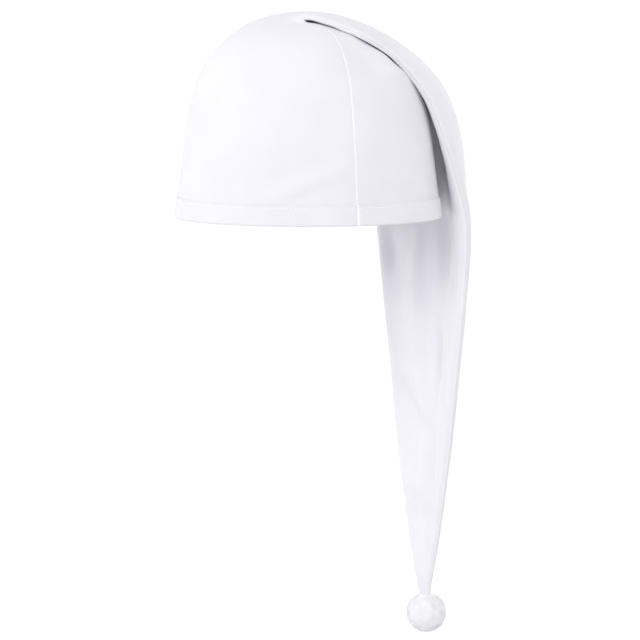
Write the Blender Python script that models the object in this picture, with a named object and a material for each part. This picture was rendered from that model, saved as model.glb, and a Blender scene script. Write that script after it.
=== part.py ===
"""A nightcap as it is worn: a dome crown, a folded hem band, a long tail and a pompom.

The front is -Y, the wearer's left is +X and up is +Z. The origin is the middle of the head
opening, in the plane of the hem. All sizes are in metres.

The crown and the tail are one bag of cloth made of a front and a back panel, joined at the side
seams. It is drawn as a stack of closed loops from the hem to the tip. The loops of the crown lie
on a dome and close up to a slit at its top. There the front panel runs on over the top and down
behind as the tail's outer face, and the back panel turns back on itself as its inner face.
"""
import math
from collections import namedtuple

import bpy
import numpy as np

# Driving sizes
HEAD_LENGTH = 0.203
HEAD_WIDTH = 0.166
CROWN_HEIGHT = 0.152
CROWN_FULLNESS = 2.55
WAIST_DEPTH = 0.0030
HEM_BACK_DROP = 0.0013
WALL = 0.0012
SEAM_GAP = 0.0003
SLIT_SEAM_GAP = 0.0007
BAND_HEIGHT = 0.0150
BAND_WALL = 0.0030
BAND_GAP = 0.0004
BAND_SEAM_DIP = 0.0005
FOLD_DEPTH = 0.0095
TAIL_WIDTH = 0.116
TAIL_DEPTH = 0.0080
TAIL_DROP = 0.299
POMPOM_DIAMETER = 0.0305
POMPOM_SEAT = -0.0001
POMPOM_LEAN = 0.0020
POMPOM_LOCK_HEIGHT = 0.0010

POMPOM_LOCKS = 46
POMPOM_LOCK_ANGLE = 17.0

# Mesh steps
RING_STEPS = 7
FLAT_COLUMNS = 8
ROUND_COLUMNS = 4
BAND_STEPS = 60
POMPOM_RINGS = 18
POMPOM_STEPS = 32

# Where the lower rings of the crown end, as shares of its height
WAIST_TOP = 0.70

# The loops on the top of the dome, from the last level ring to the slit.
# width is a share of half the head width, seam, front and back are places along half the
# head length, drop is a share of FOLD_DEPTH, and square goes from an ellipse to a flat loop.
CrownLoop = namedtuple("CrownLoop", "width seam front back drop square")
CROWN_TOP = (
    CrownLoop(0.820, 0.000, -0.820, 0.820, 0.00, 0.0),
    CrownLoop(0.690, -0.008, -0.660, 0.650, 1.20, 0.0),
    CrownLoop(0.565, -0.035, -0.500, 0.430, 1.20, 0.1),
    CrownLoop(0.460, -0.090, -0.380, 0.190, 1.10, 0.3),
    CrownLoop(0.400, -0.155, -0.290, -0.030, 0.95, 0.7),
    CrownLoop(0.375, -0.188, -0.240, -0.165, 0.80, 1.0),
)
CROWN_STEPS = (2, 2, 2, 2, 2)

# The sections of the folded tail, from the fold to the tip.
# width is a share of half the tail width, shift of half the head width and turn is in degrees.
# edge_y and mid_y are shares of half the head length. edge_z and mid_z are shares of the crown's
# height where they are above the hem, and of the tail's drop below it. depth is a share of
# TAIL_DEPTH.
TailSection = namedtuple("TailSection", "width shift turn edge_y edge_z mid_y mid_z depth")
TAIL = (
    TailSection(0.517, 0.00, 0.0, -0.205, 0.978, -0.193, 0.974, 0.62),
    TailSection(0.545, 0.00, 0.0, -0.185, 0.988, -0.130, 0.984, 0.50),
    TailSection(0.650, 0.00, 0.0, -0.090, 0.972, -0.020, 0.988, 0.50),
    TailSection(0.780, 0.00, 0.0, 0.050, 0.934, 0.130, 0.979, 0.52),
    TailSection(0.900, 0.00, 0.0, 0.185, 0.890, 0.303, 0.948, 0.50),
    TailSection(0.950, 0.00, 0.0, 0.369, 0.817, 0.528, 0.882, 0.50),
    TailSection(0.965, -0.01, 0.5, 0.538, 0.712, 0.765, 0.783, 0.52),
    TailSection(0.970, -0.02, 1.5, 0.674, 0.587, 0.960, 0.645, 0.60),
    TailSection(0.975, -0.05, 3.0, 0.804, 0.380, 1.100, 0.430, 0.75),
    TailSection(0.985, -0.09, 6.0, 0.890, 0.190, 1.140, 0.212, 0.90),
    TailSection(1.000, -0.13, 8.8, 0.955, 0.010, 1.140, 0.020, 1.00),
    TailSection(0.900, -0.13, 8.8, 0.990, -0.200, 1.095, -0.200, 0.95),
    TailSection(0.710, -0.13, 8.8, 1.000, -0.430, 1.070, -0.430, 0.90),
    TailSection(0.510, -0.13, 8.8, 1.010, -0.660, 1.030, -0.660, 0.80),
    TailSection(0.290, -0.13, 8.8, 1.015, -0.860, 1.025, -0.860, 0.70),
    TailSection(0.105, -0.13, 8.8, 1.020, -1.000, 1.020, -1.000, 0.55),
)
TAIL_STEPS = (2, 2, 2, 2, 2, 2, 2, 2, 2, 2, 2, 2, 2, 2, 2)
BOW_POWER = 2.6

# The soft folds of the hanging tail, in both of its layers.
# across runs from -1 at the far edge to 1 at the near one, down is a share of the tail's drop,
# slant is the move across for each share down, width is a share of the half width, length of the
# drop, and depth of TAIL_DEPTH, out from the head where it is above zero.
SoftFold = namedtuple("SoftFold", "across down slant width length depth")
SOFT_FOLDS = (
    SoftFold(0.30, 0.08, 1.2, 0.22, 0.12, 0.40),
    SoftFold(-0.35, 0.21, 2.5, 0.26, 0.08, -0.32),
    SoftFold(0.35, 0.36, 0.8, 0.22, 0.12, -0.32),
    SoftFold(-0.20, 0.52, -0.6, 0.32, 0.14, 0.24),
    SoftFold(0.00, 0.77, 1.0, 0.40, 0.08, -0.18),
)

# How the cloth is eased round the slit: rows on each side of it, and passes
EASE_ROWS = 5.0
EASE_PASSES = 4

# The hem band's cross-section: side is a share of half its wall, outward, and rise of its height
BandCorner = namedtuple("BandCorner", "side rise")
BAND_SECTION = (
    BandCorner(-0.6, 0.00),
    BandCorner(0.6, 0.00),
    BandCorner(1.0, 0.12),
    BandCorner(1.0, 0.88),
    BandCorner(0.6, 1.00),
    BandCorner(-0.6, 1.00),
    BandCorner(-1.0, 0.88),
    BandCorner(-1.0, 0.12),
)

# Colours and finish of the materials
CLOTH_WHITE = (0.90, 0.90, 0.93, 1.0)
HEM_WHITE = (0.88, 0.88, 0.91, 1.0)
POMPOM_WHITE = (0.92, 0.92, 0.94, 1.0)
CLOTH_ROUGHNESS = 0.92


def clear_scene():
    """Take away what the new scene starts with."""
    for item in list(bpy.data.objects):
        bpy.data.objects.remove(item, do_unlink=True)


def fabric(name, colour):
    """A plain matt cloth material."""
    material = bpy.data.materials.new(name)
    material.use_nodes = True
    shader = material.node_tree.nodes["Principled BSDF"]
    shader.inputs["Base Color"].default_value = colour
    shader.inputs["Roughness"].default_value = CLOTH_ROUGHNESS
    material.diffuse_color = colour
    return material


def add_piece(name, points, faces, material):
    """One named closed mesh, shaded smooth."""
    mesh = bpy.data.meshes.new(name)
    mesh.from_pydata([tuple(point) for point in points], [], faces)
    mesh.materials.append(material)
    mesh.shade_smooth()
    piece = bpy.data.objects.new(name, mesh)
    bpy.context.scene.collection.objects.link(piece)
    return piece


def smooth_rows(table, steps, places):
    """Rows on cubic curves through the table's rows, with a number of steps in each stretch.

    The curves are spaced by the distance between the rows in their first columns, the places.
    """
    rows = np.array(table, dtype=float)
    gaps = np.linalg.norm(np.diff(rows[:, :places], axis=0), axis=1)
    slopes = np.diff(rows, axis=0) / gaps[:, None]
    spans = (gaps[:-1] + gaps[1:])[:, None]
    inner = (slopes[:-1] * gaps[1:, None] + slopes[1:] * gaps[:-1, None]) / spans
    ends = np.vstack([slopes[:1], inner, slopes[-1:]])
    result = [rows[0]]
    for index, count in enumerate(steps):
        for step in range(1, count + 1):
            part = step / count
            left = rows[index] * (1 + 2 * part) * (1 - part) ** 2
            right = rows[index + 1] * part ** 2 * (3 - 2 * part)
            lean = ends[index] * part * (1 - part) ** 2 - ends[index + 1] * part ** 2 * (1 - part)
            result.append(left + right + lean * gaps[index])
    return np.array(result)


def crown_width(height):
    """The dome's width at a share of its height, as a share of the width at the hem."""
    full = (1 - height ** CROWN_FULLNESS) ** (1 / CROWN_FULLNESS)
    waist = WAIST_DEPTH / (HEAD_WIDTH / 2) * math.sin(math.pi * min(height / WAIST_TOP, 1))
    return full * (1 - waist)


def dome_height(x, y):
    """The dome's height above a point of its upper part."""
    reach = np.hypot(x / (HEAD_WIDTH / 2), y / (HEAD_LENGTH / 2))
    return CROWN_HEIGHT * (1 - np.minimum(reach, 1) ** CROWN_FULLNESS) ** (1 / CROWN_FULLNESS)


def column_angles():
    """The angles of one panel's columns, from the far side seam to the near one."""
    half = FLAT_COLUMNS + ROUND_COLUMNS
    return np.linspace(-90, 90, 2 * half + 1)


def flat_columns():
    """For each column of a flat loop: its place along the flat, and its angle round the edge."""
    half = FLAT_COLUMNS + ROUND_COLUMNS
    order = np.arange(-half, half + 1)
    along = np.clip(order / FLAT_COLUMNS, -1, 1)
    round_part = np.clip((np.abs(order) - FLAT_COLUMNS) / ROUND_COLUMNS, 0, 1)
    return along, np.sign(order) * round_part * math.pi / 2


def crown_loop(width, seam, front, back, square):
    """The x and y of a loop on the dome: the front panel's points, then the back panel's."""
    angle = np.radians(column_angles())
    along, corner = flat_columns()
    middle = (front + back) / 2
    half_depth = (back - front) / 2
    straight = width - half_depth
    flat_x = straight * along + half_depth * np.sin(corner)
    x = (1 - square) * width * np.sin(angle) + square * flat_x
    reach = (1 - square) * np.cos(angle) + square * np.cos(corner)
    lean = seam + (middle - seam) * reach
    return x, lean - half_depth * reach, lean + half_depth * reach


def crown_rows():
    """The crown's loops from the hem band to the slit, for the front and the back panel."""
    front_rows = []
    back_rows = []
    angle = np.radians(column_angles())
    start = BAND_HEIGHT / CROWN_HEIGHT
    for height in np.linspace(start, WAIST_TOP, RING_STEPS)[:-1]:
        share = crown_width(height)
        x = HEAD_WIDTH / 2 * share * np.sin(angle)
        y = HEAD_LENGTH / 2 * share * np.cos(angle)
        z = np.full_like(x, CROWN_HEIGHT * height)
        front_rows.append(np.stack([x, -y, z], axis=1))
        back_rows.append(np.stack([x, y, z], axis=1))
    top_share = crown_width(WAIST_TOP)
    table = [CROWN_TOP[0]._replace(width=top_share, front=-top_share, back=top_share)]
    table += CROWN_TOP[1:]
    for width, seam, front, back, drop, square in smooth_rows(table, CROWN_STEPS, 4):
        lengths = (HEAD_WIDTH / 2 * width, HEAD_LENGTH / 2 * seam, HEAD_LENGTH / 2 * front,
                   HEAD_LENGTH / 2 * back)
        x, front_y, back_y = crown_loop(*lengths, square)
        front_rows.append(np.stack([x, front_y, dome_height(x, front_y)], axis=1))
        lowered = dome_height(x, back_y) - FOLD_DEPTH * drop * np.cos(angle)
        back_rows.append(np.stack([x, back_y, lowered], axis=1))
    for row in front_rows + back_rows:
        fade = np.clip(1 - row[:, 2] / CROWN_HEIGHT, 0, 1)
        row[:, 2] -= HEM_BACK_DROP * row[:, 1] / (HEAD_LENGTH / 2) * fade
    return front_rows, back_rows


def height_of(share):
    """A height above the hem from a share of the crown, or below it from a share of the drop."""
    return share * (CROWN_HEIGHT if share > 0 else TAIL_DROP)


def tail_sections():
    """The tail's sections in metres, with the rows between them."""
    table = []
    for row in TAIL:
        table.append((row.width * TAIL_WIDTH / 2, row.shift * HEAD_WIDTH / 2,
                      math.radians(row.turn) * TAIL_WIDTH / 2, row.edge_y * HEAD_LENGTH / 2,
                      height_of(row.edge_z), row.mid_y * HEAD_LENGTH / 2, height_of(row.mid_z),
                      row.depth * TAIL_DEPTH / 2))
    return smooth_rows(table, TAIL_STEPS, len(TailSection._fields))


def soft_folds(across, down):
    """How far the soft folds move the hanging tail outward at each of its points."""
    move = np.zeros_like(down)
    for fold in SOFT_FOLDS:
        beside = (across - fold.across - fold.slant * (down - fold.down)) / fold.width
        below = (down - fold.down) / fold.length
        move += fold.depth * TAIL_DEPTH * np.exp(-beside ** 2 - below ** 2)
    return move


def tail_rows():
    """The tail's loops from the fold to the tip: the outer face, then the inner face."""
    along, corner = flat_columns()
    base = []
    halves = []
    for width, shift, lean, edge_y, edge_z, mid_y, mid_z, half in tail_sections():
        turn = lean / (TAIL_WIDTH / 2)
        place = along * (width - half) / width
        rise = 1 - np.abs(place) ** BOW_POWER
        x = shift + width * place * math.cos(turn)
        y = edge_y + (mid_y - edge_y) * rise + width * place * math.sin(turn)
        z = edge_z + (mid_z - edge_z) * rise
        base.append(np.stack([x, y, z], axis=1))
        halves.append(half)
    base = np.array(base)
    first, last = ROUND_COLUMNS, base.shape[1] - ROUND_COLUMNS
    flat = base[:, first:last]
    across = np.gradient(flat, axis=1)
    down = np.gradient(flat, axis=0)
    across /= np.linalg.norm(across, axis=2)[:, :, None]
    out = np.cross(across, down)
    out /= np.linalg.norm(out, axis=2)[:, :, None]
    move = soft_folds(along[None, first:last], -flat[:, :, 2] / TAIL_DROP)
    base += np.pad(out * move[:, :, None], ((0, 0), (first, first), (0, 0)), mode="edge")
    pad = ((0, 0), (ROUND_COLUMNS, ROUND_COLUMNS), (0, 0))
    across = np.pad(across, pad, mode="edge")
    out = np.pad(out, pad, mode="edge")
    half = np.array(halves)[:, None, None]
    sideways = across * half * np.sin(corner)[None, :, None]
    lift = out * half * np.cos(corner)[None, :, None]
    return list(base + sideways + lift), list(base + sideways - lift)


def bag_rows():
    """All loops of the bag, eased round the slit.

    The result is the front panel's grid, the back panel's and the seam gap of each row, which
    is wider at the slit, where the seams turn sharply.
    """
    front, back = crown_rows()
    outer, inner = tail_rows()
    front_grid = np.array(front + outer)
    back_grid = np.array(back + inner)
    loops = closed_loops(front_grid, back_grid)
    slit = len(front)
    rows = np.arange(len(loops))
    ease = np.clip(1 - np.abs(rows - slit + 0.5) / EASE_ROWS, 0, 1)[:, None, None]
    for _ in range(EASE_PASSES):
        sides = np.roll(loops, 1, axis=1) + np.roll(loops, -1, axis=1)
        mean = (sides + np.roll(loops, 1, axis=0) + np.roll(loops, -1, axis=0)) / 4
        loops += ease * (mean - loops) / 2
    gaps = SEAM_GAP + (SLIT_SEAM_GAP - SEAM_GAP) * ease[:, 0, 0]
    return *open_loops(loops), gaps


def closed_loops(front_grid, back_grid):
    """Both panels' columns as closed loops: along the front and back along the other."""
    return np.concatenate([front_grid, back_grid[:, -2:0:-1]], axis=1)


def open_loops(loops):
    """Closed loops as the two panels' columns, both with the columns of the side seams."""
    columns = loops.shape[1] // 2 + 1
    back = np.concatenate([loops[:, :1], loops[:, :columns - 2:-1]], axis=1)
    return loops[:, :columns], back


def loop_normals(front_grid, back_grid):
    """The cloth's outward normals at all points of both panels, shared along the seams."""
    loops = closed_loops(front_grid, back_grid)
    around = np.roll(loops, -1, axis=1)
    cells = np.cross(around[:-1] - loops[1:], around[1:] - loops[:-1])
    normals = np.zeros_like(loops)
    for part in (cells, np.roll(cells, 1, axis=1)):
        normals[:-1] += part
        normals[1:] += part
    normals /= np.linalg.norm(normals, axis=2)[:, :, None]
    return open_loops(normals)


def pull_edges(grid, gaps):
    """Move a panel's two side edges in, so that a seam gap is left between the panels."""
    result = grid.copy()
    for edge, beside in ((0, 1), (-1, -2)):
        inward = grid[:, beside] - grid[:, edge]
        inward /= np.linalg.norm(inward, axis=1)[:, None]
        result[:, edge] += inward * gaps[:, None] / 2
    return result


def thick_panel(name, grid, normals, gaps, flip, material):
    """A closed sheet of WALL thickness about a grid of points."""
    rows, columns, _ = grid.shape
    outer = pull_edges(grid + normals * WALL / 2, gaps).reshape(-1, 3)
    inner = pull_edges(grid - normals * WALL / 2, gaps).reshape(-1, 3)
    points = np.vstack([outer, inner])
    count = rows * columns
    faces = []
    for row in range(rows - 1):
        for column in range(columns - 1):
            corner = row * columns + column
            quad = (corner, corner + 1, corner + columns + 1, corner + columns)
            faces.append(quad)
            faces.append(tuple(count + index for index in reversed(quad)))
    rim = [column for column in range(columns)]
    rim += [row * columns + columns - 1 for row in range(1, rows)]
    rim += [(rows - 1) * columns + column for column in range(columns - 2, -1, -1)]
    rim += [row * columns for row in range(rows - 2, 0, -1)]
    for here, there in zip(rim, rim[1:] + rim[:1]):
        faces.append((there, here, count + here, count + there))
    if flip:
        faces = [tuple(reversed(face)) for face in faces]
    return add_piece(name, points, faces, material)


def make_panels(material):
    """The two panels of cloth that the bag is sewn from."""
    front_grid, back_grid, gaps = bag_rows()
    front_normals, back_normals = loop_normals(front_grid, back_grid)
    thick_panel("front_panel", front_grid, front_normals, gaps, False, material)
    thick_panel("back_panel", back_grid, back_normals, gaps, True, material)


def make_hem_band(material):
    """The folded band round the head opening, a little prouder than the cloth above it."""
    top = BAND_HEIGHT - BAND_GAP
    half = BAND_WALL / 2
    one_step = 2 * math.pi / BAND_STEPS
    points = []
    for step in range(BAND_STEPS):
        angle = step * one_step
        seam = max(0.0, 1 - abs(math.cos(angle)) / math.sin(one_step))
        for side, rise in BAND_SECTION:
            height = top * rise
            share = crown_width(height / CROWN_HEIGHT)
            out = half * side - (BAND_SEAM_DIP * seam if side > 0 else 0)
            x = (HEAD_WIDTH / 2 * share + out) * math.sin(angle)
            y = -(HEAD_LENGTH / 2 * share + out) * math.cos(angle)
            fade = 1 - height / CROWN_HEIGHT
            points.append((x, y, height - HEM_BACK_DROP * y / (HEAD_LENGTH / 2) * fade))
    faces = []
    count = len(BAND_SECTION)
    for step in range(BAND_STEPS):
        here = step * count
        there = (step + 1) % BAND_STEPS * count
        for index in range(count):
            after = (index + 1) % count
            faces.append((here + index, there + index, there + after, here + after))
    return add_piece("hem_band", points, faces, material)


def make_pompom(material):
    """A ball of short yarn, its soft locks fused to one head."""
    radius = POMPOM_DIAMETER / 2
    tip = TAIL[-1]
    centre = (tip.shift * HEAD_WIDTH / 2, tip.edge_y * HEAD_LENGTH / 2 + POMPOM_LEAN,
              height_of(tip.edge_z) + POMPOM_SEAT - radius)
    golden = math.pi * (3 - math.sqrt(5))
    locks = []
    for index in range(POMPOM_LOCKS):
        up = 1 - 2 * (index + 0.5) / POMPOM_LOCKS
        flat = math.sqrt(1 - up * up)
        locks.append((flat * math.cos(golden * index), flat * math.sin(golden * index), up))
    locks = np.array(locks)
    spread = math.radians(POMPOM_LOCK_ANGLE)
    rings, steps = POMPOM_RINGS, POMPOM_STEPS
    points = []
    for ring in range(rings + 1):
        lift = math.pi * ring / rings
        for step in range(steps if 0 < ring < rings else 1):
            turn = 2 * math.pi * step / steps
            ray = np.array([math.sin(lift) * math.cos(turn), math.sin(lift) * math.sin(turn),
                            math.cos(lift)])
            nearest = math.acos(min(float(np.max(locks @ ray)), 1.0))
            sink = POMPOM_LOCK_HEIGHT * min(1.0, nearest / spread) ** 2
            points.append(tuple(np.array(centre) + ray * (radius - sink)))
    faces = []
    for step in range(steps):
        after = (step + 1) % steps
        faces.append((0, 1 + step, 1 + after))
        for ring in range(rings - 2):
            upper = 1 + ring * steps
            lower = upper + steps
            faces.append((upper + step, lower + step, lower + after, upper + after))
        last = 1 + (rings - 2) * steps
        faces.append((last + step, len(points) - 1, last + after))
    return add_piece("pompom", points, faces, material)


def main():
    """Build every piece of the nightcap."""
    clear_scene()
    cloth = fabric("cloth_white", CLOTH_WHITE)
    hem = fabric("hem_white", HEM_WHITE)
    yarn = fabric("pompom_white", POMPOM_WHITE)
    make_panels(cloth)
    make_hem_band(hem)
    make_pompom(yarn)


main()
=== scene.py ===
"""The looks of a nightcap: two panels of brushed cotton, a stitched hem band and a yarn pompom."""
import sys
import logging
import math
from dataclasses import dataclass, field
from enum import Enum
from typing import NamedTuple

import bpy
import numpy as np
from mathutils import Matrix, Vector, noise


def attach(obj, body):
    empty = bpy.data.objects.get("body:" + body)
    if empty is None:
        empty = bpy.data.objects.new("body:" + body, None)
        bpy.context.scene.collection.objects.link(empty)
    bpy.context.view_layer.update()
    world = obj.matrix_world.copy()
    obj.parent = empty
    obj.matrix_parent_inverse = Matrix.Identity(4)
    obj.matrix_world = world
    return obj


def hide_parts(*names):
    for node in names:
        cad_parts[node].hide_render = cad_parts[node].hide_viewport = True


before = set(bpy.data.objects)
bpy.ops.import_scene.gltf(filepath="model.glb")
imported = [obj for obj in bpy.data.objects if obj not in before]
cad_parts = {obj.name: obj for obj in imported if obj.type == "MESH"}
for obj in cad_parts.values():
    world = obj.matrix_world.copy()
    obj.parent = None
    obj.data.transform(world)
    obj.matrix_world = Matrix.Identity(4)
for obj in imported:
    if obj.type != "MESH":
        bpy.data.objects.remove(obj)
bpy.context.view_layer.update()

LOG = logging.getLogger("nightcap")

Colour = tuple[float, float, float, float]
WHITE: Colour = (1.0, 1.0, 1.0, 1.0)
SHARP_ANGLE = math.radians(60)
# How far a seam's raised edge fades out over the cloth beside it, in metres.
SEAM_FADE = 0.0035
# The side seams' angles round the head from the front, with the way to the back panel.
SIDE_SEAMS = ((math.pi / 2, 1), (3 * math.pi / 2, -1))


# Sizes and tables, as the solids have them


@dataclass(frozen=True)
class CapSizes:
    """The cap's driving sizes, in metres, with shares and powers where the name says so."""

    head_length: float = 0.203
    head_width: float = 0.166
    crown_height: float = 0.152
    crown_power: float = 2.55
    waist_depth: float = 0.0030
    waist_top_share: float = 0.70
    hem_back_drop: float = 0.0013
    wall: float = 0.0012
    band_height: float = 0.0150
    band_wall: float = 0.0030
    fold_depth: float = 0.0095
    tail_width: float = 0.116
    tail_depth: float = 0.0080
    tail_drop: float = 0.299
    bow_power: float = 2.6
    pompom_diameter: float = 0.0305
    pompom_lean: float = 0.0020


class CrownLoop(NamedTuple):
    """A loop on top of the dome, in shares of half the head's width or length."""

    width: float
    seam: float
    front: float
    back: float
    drop: float
    square: float


class TailSection(NamedTuple):
    """A section across the folded tail, in the same shares as the solids have."""

    width: float
    shift: float
    turn: float
    edge_y: float
    edge_z: float
    mid_y: float
    mid_z: float
    depth: float


class SoftFold(NamedTuple):
    """A broad fold in both layers of the hanging tail."""

    across: float
    down: float
    slant: float
    width: float
    length: float
    depth: float


# How many of a crown loop's values are lengths.
CROWN_LENGTHS = 4
CROWN_TOP = (
    CrownLoop(0.820, 0.000, -0.820, 0.820, 0.00, 0.0),
    CrownLoop(0.690, -0.008, -0.660, 0.650, 1.20, 0.0),
    CrownLoop(0.565, -0.035, -0.500, 0.430, 1.20, 0.1),
    CrownLoop(0.460, -0.090, -0.380, 0.190, 1.10, 0.3),
    CrownLoop(0.400, -0.155, -0.290, -0.030, 0.95, 0.7),
    CrownLoop(0.375, -0.188, -0.240, -0.165, 0.80, 1.0),
)
TAIL = (
    TailSection(0.517, 0.00, 0.0, -0.205, 0.978, -0.193, 0.974, 0.62),
    TailSection(0.545, 0.00, 0.0, -0.185, 0.988, -0.130, 0.984, 0.50),
    TailSection(0.650, 0.00, 0.0, -0.090, 0.972, -0.020, 0.988, 0.50),
    TailSection(0.780, 0.00, 0.0, 0.050, 0.934, 0.130, 0.979, 0.52),
    TailSection(0.900, 0.00, 0.0, 0.185, 0.890, 0.303, 0.948, 0.50),
    TailSection(0.950, 0.00, 0.0, 0.369, 0.817, 0.528, 0.882, 0.50),
    TailSection(0.965, -0.01, 0.5, 0.538, 0.712, 0.765, 0.783, 0.52),
    TailSection(0.970, -0.02, 1.5, 0.674, 0.587, 0.960, 0.645, 0.60),
    TailSection(0.975, -0.05, 3.0, 0.804, 0.380, 1.100, 0.430, 0.75),
    TailSection(0.985, -0.09, 6.0, 0.890, 0.190, 1.140, 0.212, 0.90),
    TailSection(1.000, -0.13, 8.8, 0.955, 0.010, 1.140, 0.020, 1.00),
    TailSection(0.900, -0.13, 8.8, 0.990, -0.200, 1.095, -0.200, 0.95),
    TailSection(0.710, -0.13, 8.8, 1.000, -0.430, 1.070, -0.430, 0.90),
    TailSection(0.510, -0.13, 8.8, 1.010, -0.660, 1.030, -0.660, 0.80),
    TailSection(0.290, -0.13, 8.8, 1.015, -0.860, 1.025, -0.860, 0.70),
    TailSection(0.105, -0.13, 8.8, 1.020, -1.000, 1.020, -1.000, 0.55),
)
SOFT_FOLDS = (
    SoftFold(0.30, 0.08, 1.2, 0.22, 0.12, 0.40),
    SoftFold(-0.35, 0.21, 2.5, 0.26, 0.08, -0.32),
    SoftFold(0.35, 0.36, 0.8, 0.22, 0.12, -0.32),
    SoftFold(-0.20, 0.52, -0.6, 0.32, 0.14, 0.24),
    SoftFold(0.00, 0.77, 1.0, 0.40, 0.08, -0.18),
)


class Part(Enum):
    """The two parts of a panel, by the fine rows that they start at and end before."""

    CROWN = (0, 62)
    TAIL = (72, 189)

    def holds(self, row: np.ndarray) -> np.ndarray:
        """Which of some rows lie in the part."""
        return (row >= self.value[0]) & (row < self.value[1])


class Crease(NamedTuple):
    """A small ridge or dent in one panel, from one point of its cloth to another.

    Places are metres from the panel's middle line and metres above the hem. Height is above
    zero where the cloth stands out.
    """

    from_side: float
    from_z: float
    to_side: float
    to_z: float
    width: float
    height: float


CREASES = {
    ("front_panel", Part.CROWN): (
        Crease(0.075, 0.019, 0.135, 0.043, 0.0050, 0.0015),
        Crease(0.060, 0.027, 0.120, 0.051, 0.0070, -0.0008),
        Crease(0.095, 0.015, 0.110, 0.029, 0.0040, -0.0009),
        Crease(-0.120, 0.021, -0.060, 0.045, 0.0060, 0.0012),
        Crease(-0.030, 0.017, 0.020, 0.030, 0.0060, 0.0009),
    ),
    ("back_panel", Part.CROWN): (
        Crease(0.060, 0.019, 0.120, 0.035, 0.0060, 0.0010),
        Crease(-0.120, 0.019, -0.060, 0.040, 0.0060, 0.0010),
        Crease(0.072, 0.127, 0.071, 0.102, 0.0120, 0.0028),
    ),
    ("back_panel", Part.TAIL): (
        Crease(-0.016, -0.015, -0.014, -0.075, 0.0090, 0.0038),
        Crease(0.011, 0.005, 0.019, -0.064, 0.0065, -0.0050),
        Crease(-0.046, -0.020, -0.039, -0.048, 0.0070, -0.0029),
        Crease(-0.046, -0.066, 0.028, -0.092, 0.0080, 0.0021),
        Crease(-0.009, -0.078, -0.003, -0.164, 0.0125, 0.0072),
        Crease(0.020, -0.080, 0.017, -0.146, 0.0038, -0.0042),
        Crease(0.010, -0.152, 0.016, -0.218, 0.0042, -0.0028),
        Crease(-0.027, -0.134, 0.010, -0.174, 0.0036, -0.0034),
        Crease(0.040, -0.066, 0.033, -0.146, 0.0060, 0.0019),
        Crease(-0.002, -0.170, 0.003, -0.222, 0.0080, 0.0040),
        Crease(-0.014, -0.236, 0.018, -0.246, 0.0085, -0.0028),
        Crease(-0.014, -0.214, 0.019, -0.224, 0.0080, 0.0018),
        Crease(-0.007, -0.249, 0.014, -0.268, 0.0032, -0.0020),
        Crease(0.035, -0.056, 0.047, -0.072, 0.0030, -0.0016),
        Crease(0.031, -0.098, 0.042, -0.110, 0.0030, -0.0016),
        Crease(0.026, -0.148, 0.036, -0.162, 0.0028, -0.0014),
        Crease(0.021, -0.198, 0.029, -0.210, 0.0026, -0.0012),
        Crease(0.050, 0.100, 0.046, -0.040, 0.0100, 0.0045),
    ),
    ("front_panel", Part.TAIL): (
        Crease(0.010, 0.118, 0.026, 0.010, 0.0110, 0.0036),
        Crease(-0.034, 0.105, -0.020, 0.020, 0.0090, -0.0014),
        Crease(-0.052, 0.040, -0.010, -0.050, 0.0080, 0.0032),
        Crease(0.046, 0.030, 0.034, -0.060, 0.0080, -0.0012),
        Crease(-0.030, -0.050, -0.012, -0.150, 0.0070, -0.0014),
        Crease(0.028, -0.075, 0.006, -0.170, 0.0080, 0.0036),
        Crease(-0.016, -0.165, 0.008, -0.215, 0.0060, 0.0026),
        Crease(0.012, -0.210, -0.008, -0.262, 0.0050, 0.0012),
    ),
}


class Edge(Enum):
    """How a panel meets the side seams: flat, or raised over its pressed allowance."""

    FLAT = -0.00015
    RAISED = 0.00035


def refine(points: np.ndarray, times: int, places: int) -> np.ndarray:
    """Put extra points on smooth curves between those of the first axis.

    Args:
        points: Rows of values; curves run along the first axis.
        times: Number of steps in each stretch.
        places: How many of the last axis's values are lengths that space the curves.

    Returns:
        The finer rows, the first and last as they were.
    """
    steps = np.diff(points, axis=0)
    gaps = np.linalg.norm(steps[..., :places], axis=-1, keepdims=True)
    slopes = steps / gaps
    inner = (slopes[:-1] * gaps[1:] + slopes[1:] * gaps[:-1]) / (gaps[:-1] + gaps[1:])
    ends = np.concatenate([slopes[:1], inner, slopes[-1:]])
    parts = []
    for step in range(times):
        share = step / times
        left = points[:-1] * (1 + 2 * share) * (1 - share) ** 2
        right = points[1:] * share ** 2 * (3 - 2 * share)
        lean = ends[:-1] * share * (1 - share) ** 2 - ends[1:] * share ** 2 * (1 - share)
        parts.append(left + right + lean * gaps)
    fine = np.stack(parts, axis=1).reshape(-1, *points.shape[1:])
    return np.concatenate([fine, points[-1:]])


def unit(vectors: np.ndarray) -> np.ndarray:
    """Vectors along the last axis, each made one long."""
    return vectors / np.linalg.norm(vectors, axis=-1, keepdims=True)


def bump_at(distance: np.ndarray | float, width: float) -> np.ndarray | float:
    """A smooth bump, one at no distance and fading over a width."""
    return np.exp(-(distance / width) ** 2)


def grain(points: np.ndarray, size: float, seed: float) -> np.ndarray:
    """Smooth noise from -1 to 1 at points, with patches of about one size.

    Args:
        points: An array of points, the last axis with three lengths.
        size: The patches' size in metres.
        seed: Moves the pattern to another place.

    Returns:
        The noise, an array without the last axis.
    """
    flat = points.reshape(-1, 3) / size + seed
    values = [noise.noise(Vector(point)) for point in flat]
    return np.array(values).reshape(points.shape[:-1])


class Patches(NamedTuple):
    """The hand of the cloth: the height and size of its soft patches, and their seed."""

    height: float
    size: float
    seed: float


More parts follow.
